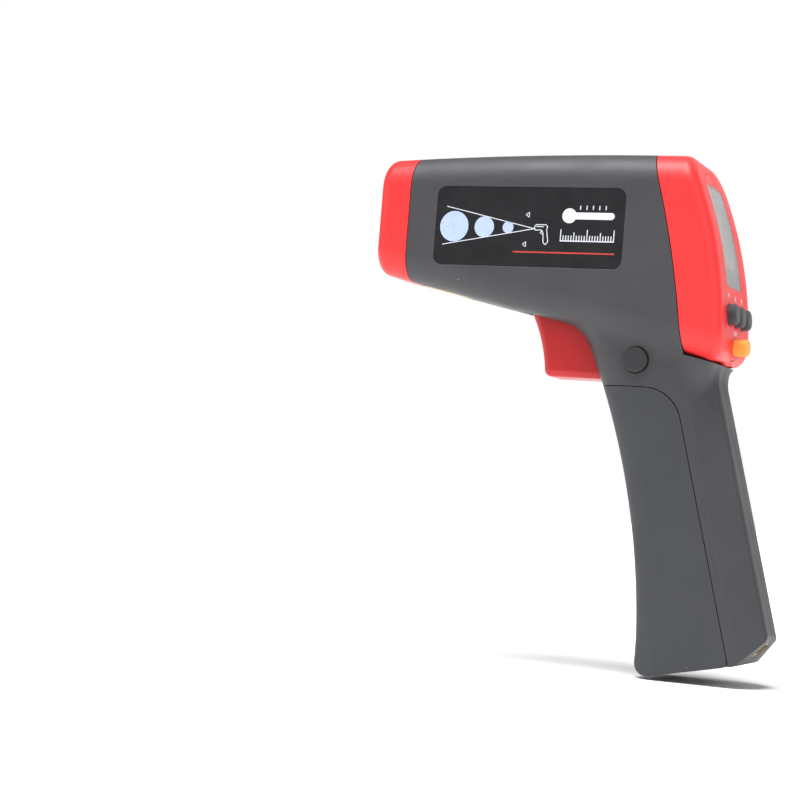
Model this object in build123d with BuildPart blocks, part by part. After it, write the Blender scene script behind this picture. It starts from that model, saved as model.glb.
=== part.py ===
from build123d import *
import os
from math import asin, cos, radians, sin, sqrt, tan

# Hand-held infrared thermometer, pistol form, in millimetres.
# X runs along the optical axis with the muzzle towards -X, Y runs across with the holder's left
# side at -Y, and Z is up. The sizes below are written in a drawing frame whose zero lies on the
# mid-plane at the trigger. Every finished piece is then shifted by one common step, so that the
# origin of the model is under the middle of its box, level with the lowest point of the handle.

# ---------------------------------------------------------------- driving sizes
wall = 2.2                      # moulded wall of every casing
seam_gap = 0.3                  # gap between neighbouring covers
fit_gap = 0.25                  # gap between a loose piece and its pocket
running = 0.05                  # radial clearance of a pin in its bore

# barrel
muzzle_x = -77.0
muzzle_top_z = 90.3
muzzle_low_z = 47.4
crown_x = -15.0
crown_z = 92.9
tail_top_z = 93.0
tail_low_z = 19.6
muzzle_half_width = 19.2
tail_half_width = 25.0
plan_tail_x = 57.0
barrel_top_round = 12.0
barrel_low_round = 10.0
muzzle_round = 4.5
tail_round = 4.6
face_radius = 150.0             # the rear face is a slice of this cylinder
face_centre_x = -93.3
face_centre_z = 25.4
front_seam_x = -64.3
rear_seam = [(26.6, 96.0), (37.8, 56.1), (44.2, 15.0)]

# handle
handle_half_width = 18.5
front_line = [(2.3, 32.1), (24.0, -27.0), (31.2, -78.0)]
toe = (31.2, -92.3)
base_end = (68.8, -84.2)
heel = (77.7, -74.6)
back_top = (48.9, 30.0)
grip_front_round = 10.0
back_facet = 10.5
crease_round = 3.5
blend_round = 14.0              # concave round where the handle flows into the barrel
blend_limit = 2.2               # largest such round, in widths of the step between barrel and handle
toe_round = 6.5
heel_round = 3.0

# battery door
door_top_z = 9.8
door_knee = (45.1, -6.8)
door_knee_round = 14.0
door_foot_x = 66.61
hinge_inset = 2.6               # the hinge pin's distance from the base and from the seam
knuckle_relief = 0.05           # the knuckle stays this far inside the base
hinge_pin_radius = 1.0
knuckle_half_width = 10.0
lug_width = 2.7
lug_gap = 0.3

# optics
axis_z = 67.0
aperture_radius = 13.5
tube_radius = 11.5
lens_radius = 9.0
laser_z = 84.4
laser_hole_radius = 2.2
laser_radius = 2.6
laser_bore = 1.3
laser_length = 12.9
laser_set_back = 4.6            # the laser module's front, behind the muzzle

# display and keys
face_half_width = 15.5
face_top_z = 88.0
face_low_z = 24.2
faceplate_thick = 1.6
ledge_thick = 1.8
ledge_width = 1.0
lcd_width = 23.0
lcd_height = 37.6
lcd_z = 66.2
window_thick = 1.2
key_radius = 3.75
key_pitch = 9.8
key_row_z = 37.6
key_proud = 3.2
key_travel = 0.8
orange_radius = 3.1
orange_z = 26.9
orange_proud = 5.2
key_gap = 0.25
flange_thick = 1.0
flange_reach = 0.5

# trigger
pivot = (-12.0, 43.6)
trigger_pin_radius = 1.5
trigger_half_width = 8.6
trigger_gap = 0.4
switch_arm = 8.0                # the switch plunger's distance from the pivot

# release buttons
release_at = (26.0, 19.3)
release_radius = 4.5
release_proud = 1.8

# battery and mount
battery_size = (26.5, 17.5, 46.0)
battery_down = 45.8             # the battery's middle, measured down the seam from its knee
battery_behind = 3.2            # room between the battery and the seam
insert_radius = 4.0
insert_length = 7.5
socket_radius = 2.55
socket_depth = 6.5
socket_up = 1.2                 # the bush's middle, up the heel's facet from the middle of the facet

# labels
label_size = (72.5, 29.0)
label_round = 3.5
label_middle = (-16.8, 65.0)
label_thick = 0.35
label_recess = 0.5


# ---------------------------------------------------------------- worked-out places
def face_x(z, depth=0.0):
    """X of the curved rear face at height z, depth below its surface."""
    return face_centre_x + sqrt((face_radius - depth) ** 2 - (z - face_centre_z) ** 2)


def face_plane(z, depth=0.0):
    """Plane on the rear face at height z: its X runs across, its Z points out."""
    tilt = asin((z - face_centre_z) / face_radius)
    out = Vector(cos(tilt), 0, sin(tilt))
    spot = Vector(face_x(z), 0, z) - out * depth
    return Plane(origin=spot, x_dir=(0, 1, 0), z_dir=out)


def side_plane(side, x, z, depth=0.0):
    """Plane on the barrel's flank, side -1 left or +1 right: its X runs to the rear."""
    slope = (tail_half_width - muzzle_half_width) / (plan_tail_x - muzzle_x)
    y = muzzle_half_width + slope * (x - muzzle_x)
    out = Vector(-slope, side, 0).normalized()
    return Plane(origin=Vector(x, side * y, z) - out * depth, x_dir=(1, side * slope, 0), z_dir=out)


base_slope = (base_end[1] - toe[1]) / (base_end[0] - toe[0])
door_foot = (door_foot_x, toe[1] + (door_foot_x - toe[0]) * base_slope)
seam_run = Vector(door_foot[0] - door_knee[0], 0, door_foot[1] - door_knee[1]).normalized()
seam_out = Vector(-seam_run.Z, 0, seam_run.X)
base_run = Vector(base_end[0] - toe[0], 0, base_end[1] - toe[1]).normalized()
hinge_spot = Vector(door_foot[0], 0, door_foot[1]) - seam_run * hinge_inset - base_run * hinge_inset
hinge = (hinge_spot.X, hinge_spot.Z)
heel_run = Vector(heel[0] - base_end[0], 0, heel[1] - base_end[1]).normalized()
heel_out = Vector(heel_run.Z, 0, -heel_run.X)
socket_spot = Vector((heel[0] + base_end[0]) / 2, 0, (heel[1] + base_end[1]) / 2) + heel_run * socket_up
socket_plane = Plane(origin=socket_spot, x_dir=(0, 1, 0), z_dir=heel_out)
battery_spot = (
    Vector(door_knee[0], 0, door_knee[1])
    + seam_run * battery_down
    - seam_out * (battery_behind + battery_size[1] / 2)
)
battery_plane = Plane(origin=battery_spot, x_dir=(0, 1, 0), z_dir=seam_run * -1)
battery_top = battery_plane.offset(battery_size[2] / 2)
board_depth = 11.5
lcd_plane = face_plane(lcd_z)
muzzle_plane = Plane(origin=(muzzle_x, 0, axis_z), x_dir=(0, 1, 0), z_dir=(-1, 0, 0))
laser_plane = Plane(origin=(muzzle_x, 0, laser_z), x_dir=(0, 1, 0), z_dir=(-1, 0, 0))
across = Plane.XZ


# ---------------------------------------------------------------- shared forms
def low_z(x):
    """Height of the barrel's flat underside at x."""
    share = (x - muzzle_x) / (face_x(tail_low_z) - muzzle_x)
    return muzzle_low_z + (tail_low_z - muzzle_low_z) * share


def slab(points, half_width):
    """A closed outline of (x, z) points, made as wide as half_width each side of the mid-plane."""
    with BuildPart() as form:
        with BuildSketch(across):
            with BuildLine():
                Polyline(*points, close=True)
            make_face()
        extrude(amount=half_width, both=True)
    return form.part


def barrel_form(inset):
    """The whole barrel with both bezels, as one closed solid, inset from its outer skin."""
    front_x = muzzle_x + inset
    top_z = tail_top_z - inset
    bottom_z = tail_low_z + inset
    mid_z = (top_z + bottom_z) / 2
    plan_reach = plan_tail_x + 20
    slope = (tail_half_width - muzzle_half_width) / (plan_tail_x - muzzle_x)
    wide = muzzle_half_width - inset + slope * (plan_reach - muzzle_x)
    narrow = muzzle_half_width - inset
    with BuildPart() as form:
        with BuildSketch(across):
            with BuildLine():
                top = ThreePointArc(
                    (front_x, muzzle_top_z - inset), (crown_x, crown_z - inset), (face_x(top_z, inset), top_z)
                )
                face = ThreePointArc(top @ 1, (face_x(mid_z, inset), mid_z), (face_x(bottom_z, inset), bottom_z))
                Polyline(face @ 1, (front_x, muzzle_low_z + inset), top @ 0)
            make_face()
        extrude(amount=tail_half_width + 5, both=True)
        with BuildSketch(Plane.XY):
            with BuildLine():
                Polyline(
                    (muzzle_x, narrow),
                    (plan_reach, wide),
                    (plan_reach, -wide),
                    (muzzle_x, -narrow),
                    close=True,
                )
            make_face()
        extrude(amount=tail_top_z + 10, mode=Mode.INTERSECT)
        flank_edges = form.edges().filter_by(lambda e: e.length > 100 and abs(e.center().Y) > 10)
        upper = flank_edges.sort_by(Axis.Z)[-2:]
        fillet(upper, radius=barrel_top_round - inset)
        flank_edges = form.edges().filter_by(lambda e: e.length > 100 and abs(e.center().Y) > 10)
        lower = flank_edges.filter_by(lambda e: e.center().Z < axis_z).sort_by(Axis.Z)[:2]
        fillet(lower, radius=barrel_low_round - inset)
        if inset < muzzle_round / 2:
            fillet(form.faces().sort_by(Axis.X)[0].edges(), radius=muzzle_round - inset)
            fillet(form.faces().sort_by(Axis.X)[-1].edges(), radius=tail_round - inset)
    return form.part


def handle_form(inset):
    """The handle as one closed solid that runs up into the barrel, inset from its outer skin."""
    high_z = 60
    back_slope = (back_top[0] - heel[0]) / (back_top[1] - heel[1])
    with BuildPart() as form:
        with BuildSketch(across):
            with BuildLine():
                front = ThreePointArc(*front_line)
                Polyline(front @ 1, toe, base_end, heel, back_top, front @ 0)
            make_face()
            if inset > 0:
                offset(amount=-inset, kind=Kind.INTERSECTION)
        extrude(amount=handle_half_width - inset, both=True)
        long_edges = form.edges().filter_by(lambda e: e.length > 85 and abs(e.center().Y) > 10)
        chamfer(long_edges.sort_by(Axis.X)[-2:], length=back_facet)
        long_edges = form.edges().filter_by(lambda e: e.length > 85)
        fillet(long_edges.sort_by(Axis.X)[-4:], radius=crease_round)
        long_edges = form.edges().filter_by(lambda e: e.length > 85 and abs(e.center().Y) > 10)
        fillet(long_edges.sort_by(Axis.X)[:2], radius=grip_front_round - inset)
        with BuildSketch(across):
            with BuildLine():
                Polyline(
                    (toe[0] - 60, high_z),
                    (front_line[2][0], front_line[2][1] + 4),
                    toe,
                    base_end,
                    heel,
                    (back_top[0] + back_slope * (high_z - back_top[1]), high_z),
                    close=True,
                )
            make_face()
            if inset > 0:
                offset(amount=-inset, kind=Kind.INTERSECTION)
            toe_corner = vertices().sort_by(Axis.Y)[0]
            fillet(toe_corner, radius=toe_round - inset)
            fillet(vertices().sort_by(Axis.X)[-1], radius=heel_round - inset)
            base_corner = vertices().sort_by(lambda v: abs(v.X - base_end[0]) + abs(v.Y - base_end[1]))[0]
            fillet(base_corner, radius=heel_round - inset)
        extrude(amount=handle_half_width, both=True, mode=Mode.INTERSECT)
    return form.part


def door_outline(gap):
    """The part of the handle that opens, as a wide slab, shrunk by gap at its seam."""
    top = door_top_z - gap
    knee = Vector(door_knee[0], 0, door_knee[1]) - seam_out * gap
    foot = Vector(door_foot[0], 0, door_foot[1]) - seam_out * gap + seam_run * 20
    back_up = knee - seam_run * 40
    share = (top - knee.Z) / (back_up.Z - knee.Z)
    corner = knee + (back_up - knee) * share
    with BuildPart() as form:
        with BuildSketch(across):
            with BuildLine():
                FilletPolyline(
                    (toe[0] - 45, top),
                    (corner.X, top),
                    (foot.X, foot.Z),
                    radius=door_knee_round,
                )
                Polyline((foot.X, foot.Z), (toe[0] - 45, foot.Z), (toe[0] - 45, top))
            make_face()
        extrude(amount=handle_half_width + 5, both=True)
    return form.part


def tail_outline(gap):
    """Everything behind the rear seam and above the handle's back, as a wide slab."""
    (x1, z1), (x2, z2), (x3, z3) = rear_seam
    with BuildPart() as form:
        with BuildSketch(across):
            with BuildLine():
                seam = ThreePointArc((x1 - gap, z1), (x2 - gap, z2), (x3 - gap, z3))
                Polyline(seam @ 1, (plan_tail_x + 20, z3), (plan_tail_x + 20, z1), seam @ 0)
            make_face()
        extrude(amount=tail_half_width + 5, both=True)
        under = [(x1 - 20, low_z(x1 - 20)), (plan_tail_x + 30, low_z(plan_tail_x + 30))]
        floor = [(x, z - gap) for x, z in under] + [(plan_tail_x + 30, z3 - 20), (x1 - 20, z3 - 20)]
        add(slab(floor, tail_half_width + 10), mode=Mode.SUBTRACT)
    return form.part


def muzzle_outline(gap):
    """Everything ahead of the front seam, as a wide box."""
    reach = muzzle_x - 10
    with BuildPart() as form:
        with Locations(((front_seam_x + gap + reach) / 2, 0, axis_z)):
            Box(front_seam_x + gap - reach, 80, 80)
    return form.part


def face_layer(shallow, deep):
    """The layer between two depths below the curved rear face, over the barrel's whole width."""
    with BuildPart() as form:
        with BuildSketch(across):
            with Locations((face_centre_x, face_centre_z)):
                Circle(face_radius - shallow)
                Circle(face_radius - deep, mode=Mode.SUBTRACT)
        extrude(amount=tail_half_width, both=True)
    return form.part


def faceplate_outline(grow, shallow, deep):
    """The inlaid faceplate's outline, cut out of the rear face between two depths."""
    up = face_top_z - lcd_z
    down = lcd_z - face_low_z
    side = face_half_width + grow
    foot = 9.0 + grow
    shoulder = up - 4.5
    face_taper = 8.5
    with BuildPart() as form:
        with BuildSketch(lcd_plane):
            with BuildLine():
                arch = ThreePointArc((-side, shoulder), (0, up + 2 + grow), (side, shoulder))
                Line((side, shoulder), (side, face_taper - down))
                Line((side, face_taper - down), (foot, 1.5 - down - grow))
                ThreePointArc((foot, 1.5 - down - grow), (0, -1.5 - down - grow), (-foot, 1.5 - down - grow))
                Line((-foot, 1.5 - down - grow), (-side, face_taper - down))
                Line((-side, face_taper - down), arch @ 0)
            make_face()
            waist = vertices().filter_by_position(Axis.Y, 1.4 - down - grow, face_taper + 0.1 - down)
            fillet(waist, radius=2.5)
        extrude(amount=30, both=True)
        add(face_layer(shallow, deep), mode=Mode.INTERSECT)
    return form.part


def rod(plane, radius, start, end):
    """A round bar along a plane's normal between two offsets."""
    with BuildPart() as form:
        with BuildSketch(plane.offset(start)):
            Circle(radius)
        extrude(amount=end - start)
    return form.part


def block(plane, size, start, end, corner=0.0):
    """A rectangular bar along a plane's normal between two offsets, with its corners rounded."""
    with BuildPart() as form:
        with BuildSketch(plane.offset(start)):
            if corner > 0:
                RectangleRounded(size[0], size[1], corner)
            else:
                Rectangle(size[0], size[1])
        extrude(amount=end - start)
    return form.part


def cross_plane(x, z, side=1):
    """Plane at (x, z) on the mid-plane whose normal points to the given side."""
    return Plane(origin=(x, 0, z), x_dir=(side, 0, 0), z_dir=(0, side, 0))


def spring(plane, radius, wire, length, turns):
    """A coil of round wire along a plane's normal."""
    with BuildPart() as form:
        with BuildLine():
            coil = Helix(length / turns, length, radius, center=plane.origin, direction=plane.z_dir)
        with BuildSketch(Plane(origin=coil @ 0, z_dir=coil % 0)):
            Circle(wire)
        sweep(path=coil, is_frenet=True)
    return form.part


pieces = {}


def keep(name, part):
    """Files a finished piece under the name of its node."""
    part.label = name
    pieces[name] = part


barrel_skin = barrel_form(0)
barrel_room = barrel_form(wall)
handle_skin = handle_form(0)
handle_room = handle_form(wall)
groove_width = 0.2
groove_depth = 0.35
groove_core = barrel_form(groove_depth) + handle_form(groove_depth)
with BuildPart() as envelope:
    add(barrel_skin)
    add(handle_skin)
    low_junction = envelope.edges().filter_by(lambda e: door_top_z + 10 < e.center().Z < front_line[0][1])
    side_junction = low_junction.filter_by(lambda e: 3 < abs(e.center().Y) < handle_half_width + 0.5)
    sharp_junction = side_junction.filter_by(lambda e: e.length > 2.9 and e.center().X < rear_seam[1][0])
    step_width = tail_half_width - handle_half_width
    fillet(sharp_junction, radius=min(blend_round, blend_limit * step_width))

# ---------------------------------------------------------------- case halves
boss_radius = 2.9
screw_radius = 1.15
screw_seats = {                 # (x, z) of each case screw, and how far out its head is seated
    (-50.0, 50.5): 18.0,
    (-56.0, 84.2): 16.5,
    (18.0, 87.0): 19.0,
    (33.5, 30.5): 19.3,
    (57.0, -21.0): 11.8,
    (67.2, -58.0): 11.6,
}
screw_head_radius = 2.2
screw_shank_radius = 1.05
screw_tip_y = -9.0
trigger_slot = [(-21.4, 41.5), (-21.4, 30.0), (-8.0, 12.2), (14.5, 12.2), (9.0, 36.0), (2.5, 41.5)]

neck_opening = [(7.0, 24.0), (43.0, 18.0), (43.0, 34.0), (7.0, 36.0)]
neck_half_width = 13.5

with BuildPart() as case:
    add(envelope.part)
    add(tail_outline(seam_gap), mode=Mode.SUBTRACT)
    add(muzzle_outline(seam_gap), mode=Mode.SUBTRACT)
    add(door_outline(-seam_gap), mode=Mode.SUBTRACT)
    add(barrel_room, mode=Mode.SUBTRACT)
    add(handle_room, mode=Mode.SUBTRACT)
    add(slab(neck_opening, neck_half_width), mode=Mode.SUBTRACT)
    # solid heel that carries the tripod bush and the door's hinge
    with BuildSketch(across):
        with BuildLine():
            Polyline(
                (door_foot[0] + seam_gap + 0.2, door_foot[1] - 4),
                (heel[0] + 4, heel[1] - 10),
                (heel[0] + 4, heel[1] + 6),
                (heel[0] - 6.5, heel[1] + 6),
                (hinge[0] + 3.4, hinge[1] + 3.4),
                close=True,
            )
        make_face()
    extrude(amount=handle_half_width + 2, both=True)
lug_inner = knuckle_half_width + lug_gap
with BuildPart() as hinge_lugs:
    with BuildSketch(across):
        with BuildLine():
            Polyline(
                (hinge[0], hinge[1] + 2.3),
                (hinge[0] - 0.6, hinge[1] - 2.2),
                (base_end[0], base_end[1] + 1.0),
                (base_end[0], base_end[1] + 8.0),
                close=True,
            )
        make_face()
        with Locations(hinge):
            Circle(2.3)
    extrude(amount=lug_inner + lug_width, both=True)
    with BuildSketch(across):
        with Locations((hinge[0], hinge[1])):
            Rectangle(40, 40)
    extrude(amount=lug_inner, both=True, mode=Mode.SUBTRACT)
with BuildPart() as bosses:
    for spot in screw_seats:
        add(rod(cross_plane(*spot), boss_radius, -30, 30))
    add(slab([(19.4, 26), (21.2, 26), (21.2, 34.5), (19.4, 34.5)], 30))
    add(rod(cross_plane(*pivot), 3.2, -30, 30))
    add(rod(cross_plane(*pivot), 4.0, -trigger_half_width - 0.4, trigger_half_width + 0.4), mode=Mode.SUBTRACT)
with BuildPart() as release_holes:
    add(rod(cross_plane(*release_at), release_radius + 0.2, -30, 30))
with BuildPart() as label_pockets:
    for side in (-1, 1):
        add(block(side_plane(side, *label_middle, label_recess), label_size, 0, 3, label_round))
with BuildPart() as parting_groove:
    add(slab([(-100, -100), (100, -100), (100, 110), (-100, 110)], groove_width))
    add(groove_core, mode=Mode.SUBTRACT)
with BuildPart() as trigger_room:
    add(slab(trigger_slot, trigger_half_width + trigger_gap))

with BuildPart() as shell:
    add(case.part)
    add(hinge_lugs.part)
    add(bosses.part)
    add(envelope.part, mode=Mode.INTERSECT)
    add(tail_outline(seam_gap), mode=Mode.SUBTRACT)
    add(trigger_room.part, mode=Mode.SUBTRACT)
    add(release_holes.part, mode=Mode.SUBTRACT)
    add(label_pockets.part, mode=Mode.SUBTRACT)
    add(parting_groove.part, mode=Mode.SUBTRACT)
    add(rod(cross_plane(*hinge), hinge_pin_radius, -lug_inner - 1.8, lug_inner + 1.8), mode=Mode.SUBTRACT)
    add(rod(cross_plane(*pivot), trigger_pin_radius, -12, 12), mode=Mode.SUBTRACT)
    add(rod(socket_plane, insert_radius, -insert_length, 2), mode=Mode.SUBTRACT)
    for spot, seat in screw_seats.items():
        add(rod(cross_plane(*spot), screw_radius, screw_tip_y - 1, 30), mode=Mode.SUBTRACT)
        add(rod(cross_plane(*spot), screw_head_radius + 0.2, seat, 30), mode=Mode.SUBTRACT)
with BuildPart() as left_shell:
    add(shell.part)
    split(bisect_by=Plane.XZ, keep=Keep.TOP)
with BuildPart() as right_shell:
    add(shell.part)
    split(bisect_by=Plane.XZ, keep=Keep.BOTTOM)
keep("left_shell", left_shell.part)
keep("right_shell", right_shell.part)

with BuildPart() as case_screws:
    for spot, seat in screw_seats.items():
        add(rod(cross_plane(*spot), screw_shank_radius, screw_tip_y, seat + 0.1))
        add(rod(cross_plane(*spot), screw_head_radius, seat + 0.05, seat + 1.6))
        add(block(cross_plane(*spot), (2.6, 0.7), seat + 0.9, seat + 3), mode=Mode.SUBTRACT)
        add(block(cross_plane(*spot), (0.7, 2.6), seat + 0.9, seat + 3), mode=Mode.SUBTRACT)
keep("case_screws", case_screws.part)

# ---------------------------------------------------------------- bezels
lip_reach = 2.4
lip_thick = 1.2
lip_outer = barrel_form(wall + 0.15)
lip_core = barrel_form(wall + 0.15 + lip_thick)

with BuildPart() as front_lip:
    add(lip_outer)
    add(muzzle_outline(lip_reach), mode=Mode.INTERSECT)
    add(lip_core, mode=Mode.SUBTRACT)
    add(muzzle_outline(-lip_reach), mode=Mode.SUBTRACT)
with BuildPart() as front_root:
    add(barrel_room)
    add(muzzle_outline(0), mode=Mode.INTERSECT)
    add(lip_core, mode=Mode.SUBTRACT)
    add(muzzle_outline(-lip_reach), mode=Mode.SUBTRACT)
with BuildPart() as front_bezel:
    add(barrel_skin)
    add(muzzle_outline(0), mode=Mode.INTERSECT)
    add(barrel_room, mode=Mode.SUBTRACT)
    add(front_root.part)
    add(front_lip.part)
    add(rod(muzzle_plane, aperture_radius, -6, 6), mode=Mode.SUBTRACT)
    add(rod(laser_plane, laser_hole_radius, -6, 6), mode=Mode.SUBTRACT)
    mouths = front_bezel.faces().sort_by(Axis.X)[0].inner_wires()
    chamfer([edge for mouth in mouths for edge in mouth.edges()], length=0.5)
keep("front_bezel", front_bezel.part)

with BuildPart() as rear_lip:
    add(lip_outer)
    add(tail_outline(lip_reach), mode=Mode.INTERSECT)
    add(lip_core, mode=Mode.SUBTRACT)
    add(tail_outline(-lip_reach), mode=Mode.SUBTRACT)
with BuildPart() as rear_root:
    add(barrel_room)
    add(tail_outline(0), mode=Mode.INTERSECT)
    add(lip_core, mode=Mode.SUBTRACT)
    add(tail_outline(-lip_reach), mode=Mode.SUBTRACT)
with BuildPart() as rear_bezel:
    add(barrel_skin)
    add(tail_outline(0), mode=Mode.INTERSECT)
    add(barrel_room, mode=Mode.SUBTRACT)
    add(rear_root.part)
    add(rear_lip.part)
    add(faceplate_outline(fit_gap + 1.5, wall - 0.4, faceplate_thick + ledge_thick))
    add(faceplate_outline(fit_gap, -2, faceplate_thick), mode=Mode.SUBTRACT)
    add(faceplate_outline(-ledge_width, 0, 12), mode=Mode.SUBTRACT)
    orange_relief = rod(face_plane(orange_z), orange_radius + flange_reach + fit_gap, -5, -faceplate_thick)
    add(orange_relief, mode=Mode.SUBTRACT)
keep("rear_bezel", rear_bezel.part)

# ---------------------------------------------------------------- display and keys
window_round = 1.2
window_ledge = 1.2
window_gap = 0.1
window_opening = (lcd_width + 2 * window_gap, lcd_height + 2 * window_gap)
sight_opening = (lcd_width - window_ledge, lcd_height - window_ledge)
key_row = face_plane(key_row_z)
orange_seat = face_plane(orange_z)
key_seats = {
    name: Plane(key_row.origin + Vector(0, y, 0), key_row.x_dir, key_row.z_dir)
    for name, y in {"key_left": -key_pitch, "key_middle": 0.0, "key_right": key_pitch}.items()
}

with BuildPart() as window_prism:
    add(block(lcd_plane, (lcd_width, lcd_height), -8, 8, window_round))
with BuildPart() as display_faceplate:
    add(faceplate_outline(0, 0, faceplate_thick))
    add(block(lcd_plane, window_opening, -window_thick - 0.6, 8, window_round), mode=Mode.SUBTRACT)
    add(block(lcd_plane, sight_opening, -8, 8, window_round), mode=Mode.SUBTRACT)
    for seat in key_seats.values():
        add(rod(seat, key_radius + key_gap, -5, 5), mode=Mode.SUBTRACT)
    add(rod(orange_seat, orange_radius + key_gap, -5, 5), mode=Mode.SUBTRACT)
keep("display_faceplate", display_faceplate.part)

with BuildPart() as lcd_window:
    add(window_prism.part)
    add(face_layer(window_gap, window_gap + window_thick), mode=Mode.INTERSECT)
    add(block(lcd_plane, (lcd_width + 4, lcd_height + 4), -window_thick - 0.55, 8), mode=Mode.INTERSECT)
keep("lcd_window", lcd_window.part)


def key_cap(seat, radius, proud):
    """A round key with a domed end and a retaining flange behind the faceplate."""
    with BuildPart() as form:
        with BuildSketch(seat.offset(-faceplate_thick - 0.15 - flange_thick)):
            Circle(radius + flange_reach)
        extrude(amount=flange_thick)
        with BuildSketch(seat.offset(-faceplate_thick - 0.15)):
            Circle(radius)
        extrude(amount=proud + faceplate_thick + 0.15)
        tip = form.faces().sort_by(Axis(seat.origin, seat.z_dir))[-1]
        fillet(tip.edges(), radius=1.3)
    return form.part


for name, seat in key_seats.items():
    keep(name, key_cap(seat, key_radius, key_proud))
keep("key_orange", key_cap(orange_seat, orange_radius, orange_proud))

glass_depth = 2.85
glass_size = (24.4, 36.4)
with BuildPart() as lcd_module:
    add(block(lcd_plane, glass_size, -glass_depth - 2.4, -glass_depth))
keep("lcd_module", lcd_module.part)
with BuildPart() as lcd_backlight:
    add(block(lcd_plane, glass_size, -glass_depth - 4.2, -glass_depth - 2.4))
keep("lcd_backlight", lcd_backlight.part)
frame_top = 5.7
with BuildPart() as lcd_frame:
    add(block(lcd_plane, (29.6, 41.0), -board_depth, -frame_top, 1.5))
    add(block(lcd_plane, (glass_size[0] + 0.2, glass_size[1] + 0.2), -glass_depth - 4.2, 0), mode=Mode.SUBTRACT)
    add(block(lcd_plane, (glass_size[0] - 3, glass_size[1] - 8), -board_depth, 0), mode=Mode.SUBTRACT)
keep("lcd_frame", lcd_frame.part)

board_thick = 1.6
board_middle = Plane(lcd_plane.origin + lcd_plane.y_dir * -8.6, lcd_plane.x_dir, lcd_plane.z_dir)
with BuildPart() as display_board:
    add(block(board_middle, (31.0, 61.0), -board_depth - board_thick, -board_depth, 1.0))
keep("display_board", display_board.part)

dome_top = faceplate_thick + 0.15 + flange_thick + key_travel + 0.1
mat_depth = 5.0
with BuildPart() as keymat:
    with BuildSketch(face_plane((key_row_z + orange_z) / 2 + 0.4).offset(-mat_depth - 0.9)):
        RectangleRounded(27.0, 17.5, 3.0)
    extrude(amount=0.9)
    for seat in key_seats.values():
        add(rod(seat, 2.4, -mat_depth - 0.4, -dome_top))
    add(rod(orange_seat, 2.2, -mat_depth - 0.4, -dome_top))
keep("keymat", keymat.part)

# ---------------------------------------------------------------- optics
def turned(points):
    """A solid of revolution about the optical axis from (x, radius) points."""
    with BuildPart() as form:
        with BuildSketch(across):
            with BuildLine():
                Polyline(*[(x, axis_z + r) for x, r in points], close=True)
            make_face()
        revolve(axis=Axis((0, 0, axis_z), (1, 0, 0)))
    return form.part


hood_x = muzzle_x + 0.6
seat_x = muzzle_x + 10.5
tube_end_x = -34.0
hood = [
    (hood_x, aperture_radius - 0.3),
    (hood_x, aperture_radius - 1.3),
    (seat_x - 3.2, lens_radius + 0.7),
    (seat_x - 3.2, lens_radius + 0.15),
    (seat_x + 0.05, lens_radius + 0.15),
    (seat_x + 0.05, lens_radius - 1.2),
    (seat_x + 4.0, lens_radius - 1.2),
    (tube_end_x - 4.0, 5.0),
    (tube_end_x, 5.0),
    (tube_end_x, tube_radius - 2.0),
    (seat_x + 3.0, tube_radius),
    (seat_x - 3.5, tube_radius),
    (muzzle_x + 3.5, aperture_radius - 0.3),
]
with BuildPart() as optics_tube:
    add(turned(hood))
keep("optics_tube", optics_tube.part)

lens_edge = 0.9
lens_crown = 2.4
lens_face_radius = (lens_radius**2 + (lens_crown - lens_edge) ** 2) / (2 * (lens_crown - lens_edge))
with BuildPart() as ir_lens:
    with BuildSketch(across):
        with BuildLine():
            Line((seat_x, axis_z), (seat_x, axis_z + lens_radius))
            rim = Line((seat_x, axis_z + lens_radius), (seat_x - lens_edge, axis_z + lens_radius))
            RadiusArc(rim @ 1, (seat_x - lens_crown, axis_z), -lens_face_radius)
            Line((seat_x - lens_crown, axis_z), (seat_x, axis_z))
        make_face()
    revolve(axis=Axis((0, 0, axis_z), (1, 0, 0)))
keep("ir_lens", ir_lens.part)
with BuildPart() as lens_ring:
    add(
        turned(
            [
                (seat_x - 3.1, lens_radius + 0.1),
                (seat_x - 3.1, lens_radius - 0.7),
                (seat_x - 1.9, lens_radius - 0.7),
                (seat_x - 1.2, lens_radius + 0.1),
            ]
        )
    )
keep("lens_ring", lens_ring.part)

optics_plane = Plane(origin=(0, 0, axis_z), x_dir=(0, 1, 0), z_dir=(1, 0, 0))
with BuildPart() as thermopile:
    add(rod(optics_plane, 4.1, tube_end_x - 3.6, tube_end_x))
    add(rod(optics_plane, 4.6, tube_end_x, tube_end_x + 0.6))
    with BuildSketch(optics_plane.offset(tube_end_x + 0.6)):
        with PolarLocations(2.6, 4, start_angle=45):
            Circle(0.25)
    extrude(amount=1.4)
keep("thermopile", thermopile.part)
with BuildPart() as sensor_board:
    add(rod(optics_plane, 9.5, tube_end_x + 2.0, tube_end_x + 3.6))
keep("sensor_board", sensor_board.part)

laser_axis = Plane(origin=(0, 0, laser_z), x_dir=(0, 1, 0), z_dir=(1, 0, 0))
with BuildPart() as laser_module:
    add(rod(laser_axis, laser_radius, muzzle_x + laser_set_back, muzzle_x + laser_set_back + laser_length))
    add(rod(laser_axis, laser_bore, muzzle_x, muzzle_x + laser_set_back + 3), mode=Mode.SUBTRACT)
keep("laser_module", laser_module.part)
with BuildPart() as laser_window:
    add(rod(laser_axis, laser_hole_radius - 0.05, muzzle_x + 1.2, muzzle_x + 2.1))
keep("laser_window", laser_window.part)

# ---------------------------------------------------------------- boards and switch
board_low_z = 49.6
board_high_z = 82.0
board_front_x = -24.0
board_rear_x = 26.0
half_board = board_thick / 2
with BuildPart() as main_board:
    with BuildSketch(across):
        with Locations(((board_front_x + board_rear_x) / 2, (board_low_z + board_high_z) / 2)):
            RectangleRounded(board_rear_x - board_front_x, board_high_z - board_low_z, 1.5)
    extrude(amount=half_board, both=True)
keep("main_board", main_board.part)

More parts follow.
